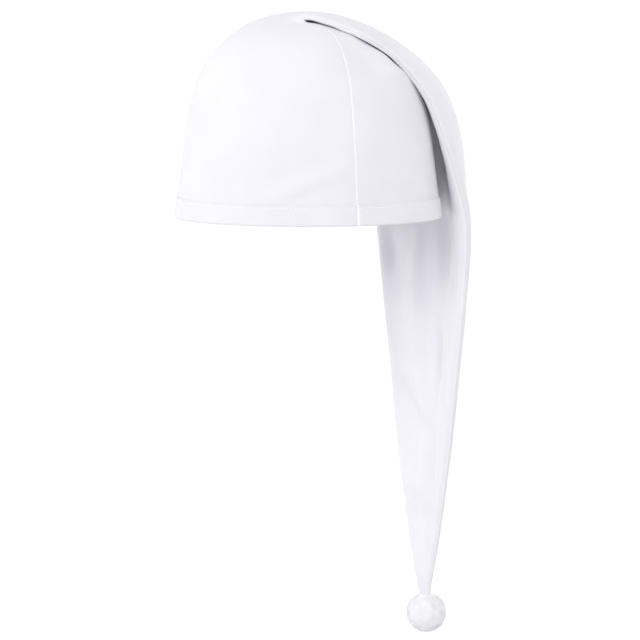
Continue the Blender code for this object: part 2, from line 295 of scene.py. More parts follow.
class Puckers(NamedTuple):
    """Small waves along a seam or a hem that fade away from it, in metres."""

    pitch: float
    length: float
    fade: float
    seed: float

    def relief(self, height: np.ndarray | float, along: np.ndarray,
               away: np.ndarray) -> np.ndarray:
        """How far the waves move the cloth outward.

        Args:
            height: How high they are at the seam.
            along: For each point, its distance along the seam.
            away: For each point, its distance away from the seam.

        Returns:
            The distance outward for each point.
        """
        places = np.stack([along / self.pitch, away / self.length, np.zeros_like(along)], axis=-1)
        return height * grain(places, 1.0, self.seed) * np.exp(-away / self.fade)


def add_object(name: str, data: bpy.types.ID) -> bpy.types.Object:
    """Make an object with its data, and link it to the scene.

    Args:
        name: The object's name.
        data: Its mesh, light or camera.

    Returns:
        The object.
    """
    item = bpy.data.objects.new(name, data)
    bpy.context.scene.collection.objects.link(item)
    return item


def make_piece(name: str, points: np.ndarray, faces: np.ndarray, flat: np.ndarray,
               seam_highlight: np.ndarray) -> bpy.types.Object:
    """Make one smooth mesh object with its flat places and the mask of its painted seam highlight.

    Args:
        name: The object's name.
        points: Its points, in metres.
        faces: Its faces, as rows of point numbers.
        flat: For each point, its place on the flat cloth in metres.
        seam_highlight: For each point, how near it is to a seam, from 0 to 1, which sets how much
            painted highlight it takes.

    Returns:
        The object, linked to the scene.
    """
    mesh = bpy.data.meshes.new(name)
    mesh.from_pydata(points.tolist(), [], faces.tolist())
    corners = np.empty(len(mesh.loops), dtype=np.int32)
    mesh.loops.foreach_get("vertex_index", corners)
    layer = mesh.uv_layers.new(name="cloth")
    layer.data.foreach_set("uv", flat[corners].astype(np.float32).ravel())
    # The seam attribute carries the painted seam highlight's mask to the material.
    seam = mesh.attributes.new("seam", "FLOAT", "POINT")
    seam.data.foreach_set("value", seam_highlight.astype(np.float32))
    mesh.shade_smooth()
    mesh.set_sharp_from_angle(angle=SHARP_ANGLE)
    mesh.update()
    return add_object(name, mesh)


# The bag of cloth


@dataclass(frozen=True)
class BagShape:
    """The crown and the tail as one bag of cloth, drawn as a stack of closed loops."""

    sizes: CapSizes = CapSizes()
    flat_columns: int = 8
    round_columns: int = 4
    ring_steps: int = 7
    table_steps: int = 2
    fine_steps: int = 4
    ease_rows: float = 5.0
    ease_passes: int = 8
    corner: tuple[float, float] = (-0.032, -0.017)
    corner_reach: tuple[float, float] = (0.016, 0.020)
    corner_drop: float = 0.0022
    slit_start: tuple[float, float] = (0.0480, 0.0040)
    slit_end: tuple[float, float] = (0.0540, 0.0400)
    slit_fill: float = 0.0034
    slit_width: float = 0.0065
    slit_bare_rows: int = 6
    slit_ease_rows: int = 8

    def crown_width(self, height: np.ndarray | float) -> np.ndarray | float:
        """The dome's width at a share of its height.

        Args:
            height: The share of the height, from 0 at the hem to 1.

        Returns:
            The width as a share of that at the hem.
        """
        s = self.sizes
        full = (1 - height ** s.crown_power) ** (1 / s.crown_power)
        rise = np.minimum(height / s.waist_top_share, 1)
        return full * (1 - s.waist_depth / (s.head_width / 2) * np.sin(math.pi * rise))

    def dome_height(self, x: np.ndarray, y: np.ndarray) -> np.ndarray:
        """The dome's height over points of its upper part.

        Args:
            x: The points' distances to the side.
            y: The points' distances to the back.

        Returns:
            The height over each point.
        """
        s = self.sizes
        reach = np.minimum(np.hypot(x / (s.head_width / 2), y / (s.head_length / 2)), 1)
        return s.crown_height * (1 - reach ** s.crown_power) ** (1 / s.crown_power)

    def tilt(self, rows: np.ndarray) -> np.ndarray:
        """Give rows the hem's slight drop at the back, which fades out up the crown.

        Args:
            rows: Points of the crown.

        Returns:
            The points with their new heights.
        """
        s = self.sizes
        result = rows.copy()
        fade = np.clip(1 - rows[..., 2] / s.crown_height, 0, 1)
        result[..., 2] -= s.hem_back_drop * rows[..., 1] / (s.head_length / 2) * fade
        return result

    def flat_places(self) -> tuple[np.ndarray, np.ndarray]:
        """Where the columns of a flat loop stand.

        Returns:
            For each column, its place along the flat and its angle round the edge.
        """
        half = self.flat_columns + self.round_columns
        order = np.arange(-half, half + 1)
        along = np.clip(order / self.flat_columns, -1, 1)
        turned = np.clip((np.abs(order) - self.flat_columns) / self.round_columns, 0, 1)
        return along, np.sign(order) * turned * math.pi / 2

    def crown_rows(self) -> tuple[np.ndarray, np.ndarray]:
        """Lay out the crown's loops from the band to the slit.

        Returns:
            The rows of points of the front and the back panel.
        """
        s = self.sizes
        along, corner = self.flat_places()
        angle = np.linspace(-math.pi / 2, math.pi / 2, len(along))
        front_rows = []
        back_rows = []
        start = s.band_height / s.crown_height
        for height in np.linspace(start, s.waist_top_share, self.ring_steps)[:-1]:
            share = self.crown_width(height)
            x = s.head_width / 2 * share * np.sin(angle)
            y = s.head_length / 2 * share * np.cos(angle)
            z = np.full_like(x, s.crown_height * height)
            front_rows.append(np.stack([x, -y, z], axis=1))
            back_rows.append(np.stack([x, y, z], axis=1))
        share = self.crown_width(s.waist_top_share)
        table = [CROWN_TOP[0]._replace(width=share, front=-share, back=share), *CROWN_TOP[1:]]
        for row in refine(np.array(table, dtype=float), self.table_steps, CROWN_LENGTHS):
            width = s.head_width / 2 * row[0]
            seam, front, back = s.head_length / 2 * row[1:CROWN_LENGTHS]
            drop, square = row[CROWN_LENGTHS:]
            half_depth = (back - front) / 2
            flat_x = (width - half_depth) * along + half_depth * np.sin(corner)
            x = (1 - square) * width * np.sin(angle) + square * flat_x
            reach = (1 - square) * np.cos(angle) + square * np.cos(corner)
            lean = seam + ((front + back) / 2 - seam) * reach
            front_y = lean - half_depth * reach
            back_y = lean + half_depth * reach
            lowered = self.dome_height(x, back_y) - s.fold_depth * drop * np.cos(angle)
            front_rows.append(np.stack([x, front_y, self.dome_height(x, front_y)], axis=1))
            back_rows.append(np.stack([x, back_y, lowered], axis=1))
        return self.tilt(np.array(front_rows)), self.tilt(np.array(back_rows))

    def height_of(self, share: float) -> float:
        """A height from a share of the crown above the hem, or of the tail's drop below it."""
        return share * (self.sizes.crown_height if share > 0 else self.sizes.tail_drop)

    def tail_rows(self) -> tuple[np.ndarray, np.ndarray]:
        """Lay out the tail's loops from the fold to the tip.

        Returns:
            The rows of points of its outer and its inner face.
        """
        s = self.sizes
        half_width, half_length = s.head_width / 2, s.head_length / 2
        table = [(row.width * s.tail_width / 2, row.shift * half_width,
                  math.radians(row.turn) * s.tail_width / 2, row.edge_y * half_length,
                  self.height_of(row.edge_z), row.mid_y * half_length,
                  self.height_of(row.mid_z), row.depth * s.tail_depth / 2) for row in TAIL]
        fine = refine(np.array(table), self.table_steps, len(TailSection._fields))
        width, shift, lean, edge_y, edge_z, mid_y, mid_z, half = (
            fine[:, index, None] for index in range(fine.shape[1]))
        along, corner = self.flat_places()
        turn = lean / (s.tail_width / 2)
        place = along * (width - half) / width
        rise = 1 - np.abs(place) ** s.bow_power
        base = np.stack([shift + width * place * np.cos(turn),
                         edge_y + (mid_y - edge_y) * rise + width * place * np.sin(turn),
                         edge_z + (mid_z - edge_z) * rise], axis=2)
        edge = self.round_columns
        flat = base[:, edge:-edge]
        across = unit(np.gradient(flat, axis=1))
        out = unit(np.cross(across, np.gradient(flat, axis=0)))
        move = self.soft_folds(along[None, edge:-edge], -flat[:, :, 2] / s.tail_drop)
        pad = ((0, 0), (edge, edge), (0, 0))
        base += np.pad(out * move[:, :, None], pad, mode="edge")
        across = np.pad(across, pad, mode="edge")
        out = np.pad(out, pad, mode="edge")
        sideways = across * half[:, :, None] * np.sin(corner)[None, :, None]
        lift = out * half[:, :, None] * np.cos(corner)[None, :, None]
        return base + sideways + lift, base + sideways - lift

    def soft_folds(self, across: np.ndarray, down: np.ndarray) -> np.ndarray:
        """How far the broad folds move the hanging tail outward.

        Args:
            across: The points' places across the tail, from -1 to 1.
            down: The points' shares of the tail's drop.

        Returns:
            The distance outward for each point.
        """
        move = np.zeros_like(down)
        for fold in SOFT_FOLDS:
            beside = (across - fold.across - fold.slant * (down - fold.down)) / fold.width
            below = (down - fold.down) / fold.length
            move += fold.depth * self.sizes.tail_depth * np.exp(-beside ** 2 - below ** 2)
        return move

    def far_corner(self, points: np.ndarray) -> np.ndarray:
        """How near points are to the fold's far corner, where the cloth lies down further.

        Args:
            points: Points of the loops.

        Returns:
            For each point, a share from 0 to 1.
        """
        beside, behind = (bump_at(points[..., axis] - self.corner[axis], self.corner_reach[axis])
                          for axis in (0, 1))
        return beside * behind

    def under_slit(self, points: np.ndarray) -> np.ndarray:
        """How far the crown stands up along a line under the tail's near edge.

        Args:
            points: Points of the loops.

        Returns:
            For each point, a share from 0 to 1.
        """
        start = np.array(self.slit_start)
        way = np.array(self.slit_end) - start
        half = np.linalg.norm(way) / 2
        way /= 2 * half
        away = points[..., :2] - start
        middle = (away @ way - half) / half
        across = away @ np.array([way[1], -way[0]])
        return bump_at(across, self.slit_width) * np.exp(-middle ** 4)

    def panels(self) -> tuple[np.ndarray, np.ndarray]:
        """Draw the whole bag and part it at the side seams.

        Returns:
            The front and the back panel's fine rows of points, from the far seam to the near one.
        """
        crown_front, crown_back = self.crown_rows()
        tail_outer, tail_inner = self.tail_rows()
        front = np.concatenate([crown_front, tail_outer])
        back = np.concatenate([crown_back, tail_inner])
        loops = np.concatenate([front, back[:, -2:0:-1]], axis=1)
        rows = np.arange(len(loops))
        ease = np.clip(1 - np.abs(rows - len(crown_front) + 0.5) / self.ease_rows, 0, 1)
        for _ in range(self.ease_passes):
            sides = np.roll(loops, 1, axis=1) + np.roll(loops, -1, axis=1)
            mean = (sides + np.roll(loops, 1, axis=0) + np.roll(loops, -1, axis=0)) / 4
            loops += ease[:, None, None] * (mean - loops) / 2
        loops = refine(loops, self.fine_steps, 3)
        loops[..., 2] -= self.corner_drop * self.far_corner(loops)
        before = (len(crown_front) - 1) * self.fine_steps - np.arange(len(loops))
        on_crown = np.clip((before - self.slit_bare_rows) / self.slit_ease_rows, 0, 1)
        loops[..., 2] += self.slit_fill * self.under_slit(loops) * on_crown[:, None]
        columns = front.shape[1]
        wrapped = [loops[:, -2:], loops, loops[:, :columns - 1], loops[:, :2]]
        wrapped = np.concatenate(wrapped, axis=1).transpose(1, 0, 2)
        fine = refine(wrapped, self.fine_steps, 3).transpose(1, 0, 2)
        start = 2 * self.fine_steps
        span = (columns - 1) * self.fine_steps
        front_fine = fine[:, start:start + span + 1]
        back_fine = fine[:, start + span:start + 2 * span + 1][:, ::-1]
        return front_fine, back_fine


@dataclass
class ClothPanel:
    """One panel of the bag, laid out in columns that crowd at its side seams."""

    name: str
    points: np.ndarray
    edge: Edge
    flip: bool
    seam_steps: tuple[float, ...] = (0, 0.0003, 0.0006, 0.0009, 0.0013, 0.0017, 0.0021, 0.0026,
                                     0.0033, 0.0043, 0.0058)
    middle_columns: int = 84
    full_width: float = 0.030
    # The rows inside the fold, where no seam edge shows.
    hidden_rows: tuple[int, int] = (42, 66)
    hidden_ease: float = 4.0
    groove_depth: float = 0.00008
    groove_width: float = 0.0003
    hand: tuple[Patches, ...] = (Patches(0.00030, 0.034, 3.7), Patches(0.00010, 0.012, 8.1))
    hem_puckers: Puckers = Puckers(0.006, 0.020, 0.009, 5.3)
    hem_pucker_height: float = 0.00024
    seam_puckers: Puckers = Puckers(0.008, 0.030, 0.007, 6.9)
    seam_pucker_heights: tuple[float, float] = (0.00016, 0.00050)
    hem_hold: float = 0.0016
    # The painted seam highlight: its width, and how much of it shows on the tail.
    highlight_width: float = 0.0008
    tail_highlight: float = 0.55
    side: np.ndarray = field(init=False)
    beside: np.ndarray = field(init=False)
    up: np.ndarray = field(init=False)

    def spread(self) -> None:
        """Lay the panel's columns out again by their distance from the side seams."""
        rows = []
        for row in self.points:
            run = np.concatenate([[0], np.cumsum(np.linalg.norm(np.diff(row, axis=0), axis=1))])
            near = np.array(self.seam_steps) * min(1.0, run[-1] / self.full_width)
            middle = np.linspace(near[-1], run[-1] - near[-1], self.middle_columns)[1:-1]
            places = np.concatenate([near, middle, run[-1] - near[::-1]])
            rows.append(np.stack([np.interp(places, run, row[:, axis]) for axis in range(3)], 1))
        self.points = np.array(rows)

    def lay_flat(self) -> None:
        """Work out where each point lies on the flat cloth, and its distance from the seams."""
        steps = np.linalg.norm(np.diff(self.points, axis=1), axis=2)
        run = np.pad(np.cumsum(steps, axis=1), ((0, 0), (1, 0)))
        self.side = run - run[:, -1:] / 2
        self.beside = np.minimum(run, run[:, -1:] - run)
        climb = np.linalg.norm(np.diff(self.points, axis=0), axis=2)
        self.up = np.pad(np.cumsum(climb, axis=0), ((1, 0), (0, 0)))

    def relief(self) -> np.ndarray:
        """How far the small folds, the seams and the hand of the cloth move it outward.

        Returns:
            The distance outward for each point.
        """
        row = np.arange(self.points.shape[0])[:, None]
        first, last = self.hidden_rows
        clear = np.abs(row - (first + last) / 2) - (last - first) / 2
        seam = self.edge.value * np.exp(-self.beside / SEAM_FADE)
        seam -= self.groove_depth * bump_at(self.beside, self.groove_width)
        move = seam * np.clip(clear / self.hidden_ease + 1, 0, 1)
        for part in Part:
            for crease in CREASES[self.name, part]:
                move += self.crease(crease) * part.holds(row)
        for patches in self.hand:
            move += patches.height * grain(self.points, patches.size, patches.seed)
        move += self.hem_puckers.relief(self.hem_pucker_height, self.side, self.up)
        height = np.where(row < Part.TAIL.value[0], *self.seam_pucker_heights)
        move += self.seam_puckers.relief(height, self.up, self.beside)
        return move * (1 - bump_at(self.up, self.hem_hold))

    def crease(self, crease: Crease) -> np.ndarray:
        """One crease's relief, round along its line and faded at its ends.

        Args:
            crease: Its place, width and height.

        Returns:
            The distance outward for each point.
        """
        start = np.array([crease.from_side, crease.from_z])
        line = np.array([crease.to_side, crease.to_z]) - start
        length = np.linalg.norm(line)
        line /= length
        away = np.stack([self.side, self.points[..., 2]], axis=2) - start
        along = away @ line
        across = away @ np.array([-line[1], line[0]])
        middle = (along - length / 2) / (length / 2)
        return crease.height * bump_at(across, crease.width) * np.exp(-middle ** 4)

    def build(self, normals: np.ndarray, wall: float, gap: float) -> bpy.types.Object:
        """Make the panel's closed mesh.

        Args:
            normals: Outward normals at its points, shared with the other panel at the seams.
            wall: The cloth's thickness.
            gap: The gap that is left between the panels at the seams.

        Returns:
            The panel's object.
        """
        rows, columns, _ = self.points.shape
        skins = []
        for side in (0.5, -0.5):
            skin = self.points + normals * wall * side
            for here, beside in ((0, 1), (-1, -2)):
                skin[:, here] += unit(skin[:, beside] - skin[:, here]) * gap / 2
            skins.append(skin.reshape(-1, 3))
        count = rows * columns
        index = np.arange(count).reshape(rows, columns)
        quads = np.stack([index[:-1, :-1], index[:-1, 1:], index[1:, 1:], index[1:, :-1]], 2)
        quads = quads.reshape(-1, 4)
        rim = np.concatenate([index[0], index[1:, -1], index[-1, -2::-1], index[-2:0:-1, 0]])
        after = np.roll(rim, -1)
        edges = np.stack([after, rim, count + rim, count + after], axis=1)
        faces = np.concatenate([quads, quads[:, ::-1] + count, edges])
        if self.flip:
            faces = faces[:, ::-1]
        flat = np.tile(np.stack([self.side, self.up], axis=2).reshape(-1, 2), (2, 1))
        # Painted highlight: the raised panel is painted paler along its seams, where the seam edge
        # catches light; the flat panel gets none.
        shown = np.where(np.arange(rows) < Part.TAIL.value[0], 1.0, self.tail_highlight)[:, None]
        if self.edge is Edge.FLAT:
            shown = shown * 0
        seam_highlight = np.tile((bump_at(self.beside, self.highlight_width) * shown).reshape(-1), 2)
        return make_piece(self.name + "_cloth", np.vstack(skins), faces, flat, seam_highlight)


@dataclass
class ClothBag:
    """The crown and tail, sewn from a front and a back panel."""

    shape: BagShape
    seam_gap: float = 0.00004
    gathers: int = 9
    gather_height: float = 0.00055
    gather_reach: float = 0.016
    pinch: float = 0.34
    pinch_reach: float = 0.017
    sink: float = 0.0009
    sink_reach: float = 0.006

    def build(self) -> list[bpy.types.Object]:
        """Build both panels.

        Returns:
            Their objects, the front one first.
        """
        front_points, back_points = self.shape.panels()
        front = ClothPanel("front_panel", front_points, Edge.FLAT, False)
        back = ClothPanel("back_panel", back_points, Edge.RAISED, True)
        for panel in (front, back):
            panel.spread()
            panel.lay_flat()
        normals = self.normals(front, back)
        for panel, out in zip((front, back), normals):
            move = panel.relief() + self.gathered(panel)
            panel.points = panel.points + out * move[:, :, None]
            self.seat_tip(panel)
        normals = self.normals(front, back)
        wall = self.shape.sizes.wall
        return [panel.build(out, wall, self.seam_gap)
                for panel, out in zip((front, back), normals)]

    def gathered(self, panel: ClothPanel) -> np.ndarray:
        """The small gathers where the tip is drawn together over the pompom.

        Args:
            panel: A panel that is laid flat.

        Returns:
            How far they move each of its points outward.
        """
        turn = np.linspace(0, math.pi, panel.points.shape[1])[None]
        left = panel.up[-1:] - panel.up
        return self.gather_height * np.sin(self.gathers * turn) * np.exp(-left / self.gather_reach)

    def seat_tip(self, panel: ClothPanel) -> None:
        """Draw a panel's last rows together and down on to the pompom's round top.

        Args:
            panel: The panel, whose points are moved.
        """
        s = self.shape.sizes
        radius = s.pompom_diameter / 2
        tip = TAIL[-1]
        centre = np.array([tip.shift * s.head_width / 2,
                           tip.edge_y * s.head_length / 2 + s.pompom_lean])
        above = np.maximum(panel.points[..., 2] + s.tail_drop, 0)
        narrow = 1 - self.pinch * np.exp(-above / self.pinch_reach)
        panel.points[..., :2] = centre + (panel.points[..., :2] - centre) * narrow[..., None]
        away = np.linalg.norm(panel.points[..., :2] - centre, axis=2)
        sag = radius - np.sqrt(np.maximum(radius ** 2 - away ** 2, 0)) + self.sink
        panel.points[..., 2] -= sag * np.exp(-above / self.sink_reach)

    @staticmethod
    def normals(front: ClothPanel, back: ClothPanel) -> tuple[np.ndarray, np.ndarray]:
        """The cloth's outward normals, the same for both panels where they meet.

        Args:
            front: The front panel.
            back: The back panel.

        Returns:
            The normals at the front and at the back panel's points.
        """
        loops = np.concatenate([front.points, back.points[:, -2:0:-1]], axis=1)
        around = np.roll(loops, -1, axis=1)
        cells = np.cross(around[:-1] - loops[1:], around[1:] - loops[:-1])
        sums = np.zeros_like(loops)
        for part in (cells, np.roll(cells, 1, axis=1)):
            sums[:-1] += part
            sums[1:] += part
        sums = unit(sums)
        columns = front.points.shape[1]
        back_sums = np.concatenate([sums[:, :1], sums[:, :columns - 2:-1]], axis=1)
        return sums[:, :columns], back_sums


# The hem band


@dataclass
class HemBand:
    """The folded band round the head opening, with its row of topstitching."""

    shape: BagShape
    steps: int = 288
    seam_columns: int = 32
    seam_crowding: float = 1.6
    seam_reach: float = 0.006
    seam_clear: float = 1.05
    wall_rows: int = 30
    inner_rows: int = 9
    round_steps: int = 9
    lip_rise: float = 0.0003
    lip_clear: float = 0.00003
    ledge_drop: float = 0.0002
    ledge_gap: float = 0.0001
    bottom_radius: float = 0.0015
    top_radius: float = 0.00036
    inner_radius: float = 0.0008
    swell: float = 0.00018
    # The band's soft unevenness, which fades nowhere.
    patches: Puckers = Puckers(0.009, 0.012, math.inf, 2.9)
    patch_height: float = 0.00022
    notch_depth: float = 0.00080
    notch_shift: float = 0.0003
    notch_width: float = 0.00045
    # The painted highlight beside the band's seams: how far it is turned to the raised side, and
    # its width.
    highlight_turn: float = 0.007
    highlight_width: float = 0.0007
    stitch_height: float = 0.0130
    groove_depth: float = 0.00020
    groove_width: float = 0.0008
    groove_share: float = 0.7
    pitch: float = 0.0031
    stitch_length: float = 0.0025
    thread_width: float = 0.00055
    thread_lift: float = 0.00004
    path_steps: int = 1440
    look_out: float = 0.01
    seed: int = 3

    def angles(self) -> np.ndarray:
        """Angles round the head from the front, closer together at the side seams.

        Returns:
            The angles in order, in radians.
        """
        keep = np.linspace(0, 2 * math.pi, self.steps, endpoint=False)
        reach = self.seam_reach / (self.shape.sizes.head_width / 2)
        near = np.linspace(-1, 1, self.seam_columns)
        near = reach * np.sign(near) * np.abs(near) ** self.seam_crowding
        for seam, _ in SIDE_SEAMS:
            keep = keep[np.abs(keep - seam) > reach * self.seam_clear]
        return np.sort(np.concatenate([keep, *(near + seam for seam, _ in SIDE_SEAMS)]))

    def section(self) -> list[tuple[float, float]]:
        """The band's cross-section, from its inner foot round the outside and down again.

        Returns:
            Pairs of the distance outward from the wall's middle and the height.
        """
        s = self.shape.sizes
        half = s.band_wall / 2
        top = s.band_height + self.lip_rise
        ledge = s.band_height - self.ledge_drop
        corner = self.top_radius
        foot = self.bottom_radius
        inner = self.inner_radius
        points = []
        for angle in np.linspace(math.pi, 2 * math.pi, self.round_steps):
            points.append((half * math.cos(angle), foot * (1 + math.sin(angle))))
        for height in np.linspace(foot, top - corner, self.wall_rows + 1)[1:-1]:
            points.append((half, height))
        lip = (half + s.wall / 2 + self.lip_clear) / 2
        for angle in np.linspace(0, math.pi, self.round_steps):
            reach = (half - lip) * math.cos(angle)
            points.append((lip + reach, top - corner + corner * math.sin(angle)))
        points.append((2 * lip - half, ledge + self.ledge_drop))
        points.append((2 * lip - half - self.ledge_gap, ledge))
        for angle in np.linspace(math.pi / 2, math.pi, self.round_steps // 2 + 1):
            points.append((-half + inner * (1 + math.cos(angle)),
                           ledge - inner * (1 - math.sin(angle))))
        for height in np.linspace(ledge - inner, foot, self.inner_rows)[1:-1]:
            points.append((-half, height))
        return points

    def relief(self, angle: np.ndarray, height: float, around: np.ndarray) -> np.ndarray:
        """How far the outer wall stands out at one height.

        Args:
            angle: Angles round the head.
            height: The height over the hem.
            around: The same places as distances along the hem.

        Returns:
            The distance outward at each angle.
        """
        groove = bump_at(np.array(height - self.stitch_height), self.groove_width)
        hole = np.cos(2 * math.pi * around / self.pitch)
        hole = self.groove_share + (1 - self.groove_share) * hole
        move = -self.groove_depth * groove * hole
        move += self.swell * math.sin(math.pi * min(height / self.stitch_height, 1)) ** 0.5
        move += self.patches.relief(self.patch_height, around, np.full_like(around, height))
        for seam, way in SIDE_SEAMS:
            beside = (angle - seam) * self.shape.sizes.head_width / 2 * way
            move += Edge.RAISED.value * np.exp(-np.maximum(beside, 0) / SEAM_FADE) * (beside > 0)
            move -= self.notch_depth * bump_at(beside + self.notch_shift, self.notch_width)
        return move

    def ring(self, angle: np.ndarray, out: np.ndarray | float, height: float) -> np.ndarray:
        """Points round the head at one height.

        Args:
            angle: Their angles from the front.
            out: Their distances outward from the wall's middle.
            height: Their height over the hem.

        Returns:
            The points, one in each row.
        """
        s = self.shape.sizes
        share = self.shape.crown_width(height / s.crown_height)
        x = (s.head_width / 2 * share + out) * np.sin(angle)
        y = -(s.head_length / 2 * share + out) * np.cos(angle)
        return self.shape.tilt(np.stack([x, y, np.full_like(x, height)], axis=1))

    def build(self) -> bpy.types.Object:
        """Build the band as one closed mesh.

        Returns:
            The band's object.
        """
        angle = self.angles()
        middle = self.ring(angle, 0.0, 0.0)
        steps = np.linalg.norm(np.roll(middle, -1, axis=0) - middle, axis=1)
        around = np.concatenate([[0], np.cumsum(steps)[:-1]])
        rings = []
        flat = []
        for side, height in self.section():
            outward = side + (self.relief(angle, height, around) if side > 0 else 0)
            rings.append(self.ring(angle, outward, height))
            flat.append(np.stack([around, np.full_like(around, height)], axis=1))
        grid = np.array(rings)
        count, width = grid.shape[:2]
        index = np.arange(count * width).reshape(count, width)
        after = np.roll(index, -1, axis=1)
        above = np.roll(index, -1, axis=0)
        faces = np.stack([index, after, np.roll(after, -1, axis=0), above], axis=2)
        # Painted highlight: the band is painted paler beside its seams, on the raised side.
        beside = np.minimum(*(np.abs(angle - seam - way * self.highlight_turn)
                              for seam, way in SIDE_SEAMS))
        seam_highlight = bump_at(beside * self.shape.sizes.head_width / 2, self.highlight_width)
        return make_piece("hem_band_cloth", grid.reshape(-1, 3), faces.reshape(-1, 4),
                          np.concatenate(flat), np.tile(seam_highlight, count))

    def stitch_path(self) -> bpy.types.Object:
        """Draw the line of the topstitching, each point with the way out from the cloth.

        Returns:
            The line's object, a mesh of edges.
        """
        angle = np.linspace(0, 2 * math.pi, self.path_steps, endpoint=False)
        half = self.shape.sizes.band_wall / 2
        line = self.ring(angle, half + self.thread_lift, self.stitch_height)
        out = unit(self.ring(angle, half + self.look_out, self.stitch_height) - line)
        mesh = bpy.data.meshes.new("hem_stitch_path")
        pairs = [(index, (index + 1) % len(line)) for index in range(len(line))]
        mesh.from_pydata(line.tolist(), pairs, [])
        normal = mesh.attributes.new("out", "FLOAT_VECTOR", "POINT")
        normal.data.foreach_set("vector", out.astype(np.float32).ravel())
        return add_object("hem_stitch_path", mesh)

    def stitches(self, thread: bpy.types.Material) -> bpy.types.Object:
        """Sew the row of topstitching round the band.

        Args:
            thread: The thread's material.

        Returns:
            The stitches' object.
        """
        values = {"Pitch": self.pitch, "Stitch Length": self.stitch_length,
                  "Thread Width": self.thread_width, "Material": thread, "Seed": self.seed}
        return grow(self.stitch_path(), stitch_tree(), "hem_stitches", values)


# Node trees


class NodeSheet:
    """Adds nodes to a tree and links their sockets in few words."""

    def __init__(self, tree: bpy.types.NodeTree) -> None:
        """Keep the tree that the nodes go to."""
        self.tree = tree

    def add(self, kind: str, settings: dict | None = None, **inputs: object) -> bpy.types.Node:
        """Add one node.

        Args:
            kind: The node's type.
            settings: Values of its own properties.
            **inputs: Values or sockets for its inputs, as feed takes them.

        Returns:
            The node.
        """
        node = self.tree.nodes.new(kind)
        for key, value in (settings or {}).items():
            setattr(node, key, value)
        self.feed(node, **inputs)
        return node

    def feed(self, node: bpy.types.Node, **inputs: object) -> None:
        """Set or link a node's inputs.

        Args:
            node: The node.
            **inputs: Values or sockets, by the inputs' names with low lines for blanks, or by
                n and a number where several inputs share one name.
        """
        for key, value in inputs.items():
            socket = self.find(node.inputs, key)
            if isinstance(value, bpy.types.NodeSocket):
                self.tree.links.new(value, socket)
            else:
                socket.default_value = value

    def get(self, kind: str, settings: dict | None = None,
            **inputs: object) -> bpy.types.NodeSocket:
        """Add one node and give its first output."""
        return self.add(kind, settings, **inputs).outputs[0]

    @staticmethod
    def find(sockets: bpy.types.bpy_prop_collection, key: str) -> bpy.types.NodeSocket:
        """Find an input.

        Args:
            sockets: The inputs.
            key: The enabled input's name with low lines for blanks, or n and its number.

        Returns:
            The input.
        """
        if key.startswith("n") and key[1:].isdigit():
            return sockets[int(key[1:])]
        name = key.replace("_", " ")
        for socket in sockets:
            if socket.enabled and socket.name == name:
                return socket
        raise KeyError(key)

    def maths(self, operation: str, first: object, second: object = 0.0) -> bpy.types.NodeSocket:
        """One sum of two numbers or sockets, and its result's socket."""
        return self.get("ShaderNodeMath", {"operation": operation}, n0=first, n1=second)

    def plus(self, first: object, second: object) -> bpy.types.NodeSocket:
        """Two numbers or sockets added up."""
        return self.maths("ADD", first, second)

    def times(self, first: object, second: object) -> bpy.types.NodeSocket:
        """Two numbers or sockets multiplied."""
        return self.maths("MULTIPLY", first, second)

    def blend(self, share: object, first: object, second: object) -> bpy.types.NodeSocket:
        """Two colours or sockets mixed by the second one's share."""
        mix = self.add("ShaderNodeMix", {"data_type": "RGBA"}, n0=share, n6=first, n7=second)
        return mix.outputs[2]

    def vary(self, low: tuple[float, float, float], high: tuple[float, float, float],
             seed: bpy.types.NodeSocket) -> bpy.types.NodeSocket:
        """A random vector for each point, between a low and a high one."""
        return self.get("FunctionNodeRandomValue", {"data_type": "FLOAT_VECTOR"}, n0=low, n1=high,
                        Seed=seed)

    def turned(self, turn: bpy.types.NodeSocket, by: bpy.types.NodeSocket) -> bpy.types.NodeSocket:
        """A rotation turned further about its own axes."""
        return self.get("FunctionNodeRotateRotation", {"rotation_space": "LOCAL"}, Rotation=turn,
                        Rotate_By=by)


def new_tree(name: str, kind: str, inputs: dict[str, str], outputs: dict[str, str]) -> NodeSheet:
    """Start a node group with named sockets.

    Args:
        name: The group's name.
        kind: The type of tree.
        inputs: Names of the inputs, each with its socket type.
        outputs: Names of the outputs, each with its socket type.

    Returns:
        The sheet that fills the group.
    """
    tree = bpy.data.node_groups.new(name, kind)
    for way, sockets in (("INPUT", inputs), ("OUTPUT", outputs)):
        for label, socket_type in sockets.items():
            tree.interface.new_socket(name=label, in_out=way, socket_type=socket_type)
    return NodeSheet(tree)


def growth_tree(name: str, *sizes: str) -> tuple[NodeSheet, bpy.types.bpy_prop_collection]:
    """Start a geometry node tree that grows a piece, with a material and a seed.

    Args:
        name: The tree's name.
        *sizes: Names of its sizes.

    Returns:
        The sheet that fills the tree, and the sockets of what it is given.
    """
    inputs = {"Geometry": "NodeSocketGeometry", **{size: "NodeSocketFloat" for size in sizes},
              "Material": "NodeSocketMaterial", "Seed": "NodeSocketInt"}
    sheet = new_tree(name, "GeometryNodeTree", inputs, {"Geometry": "NodeSocketGeometry"})
    return sheet, sheet.add("NodeGroupInput").outputs


def finish_tree(sheet: NodeSheet, shape: bpy.types.NodeSocket,
                material: bpy.types.NodeSocket) -> bpy.types.NodeTree:
    """End a geometry tree: real geometry, smooth, with its material set.

    Args:
        sheet: The tree's sheet.
        shape: The socket with what has grown.
        material: The socket with its material.

    Returns:
        The finished tree.
    """
    real = sheet.get("GeometryNodeRealizeInstances", Geometry=shape)
    smooth = sheet.get("GeometryNodeSetShadeSmooth", Geometry=real)
    dressed = sheet.get("GeometryNodeSetMaterial", Geometry=smooth, Material=material)
    sheet.add("NodeGroupOutput", Geometry=dressed)
    return sheet.tree


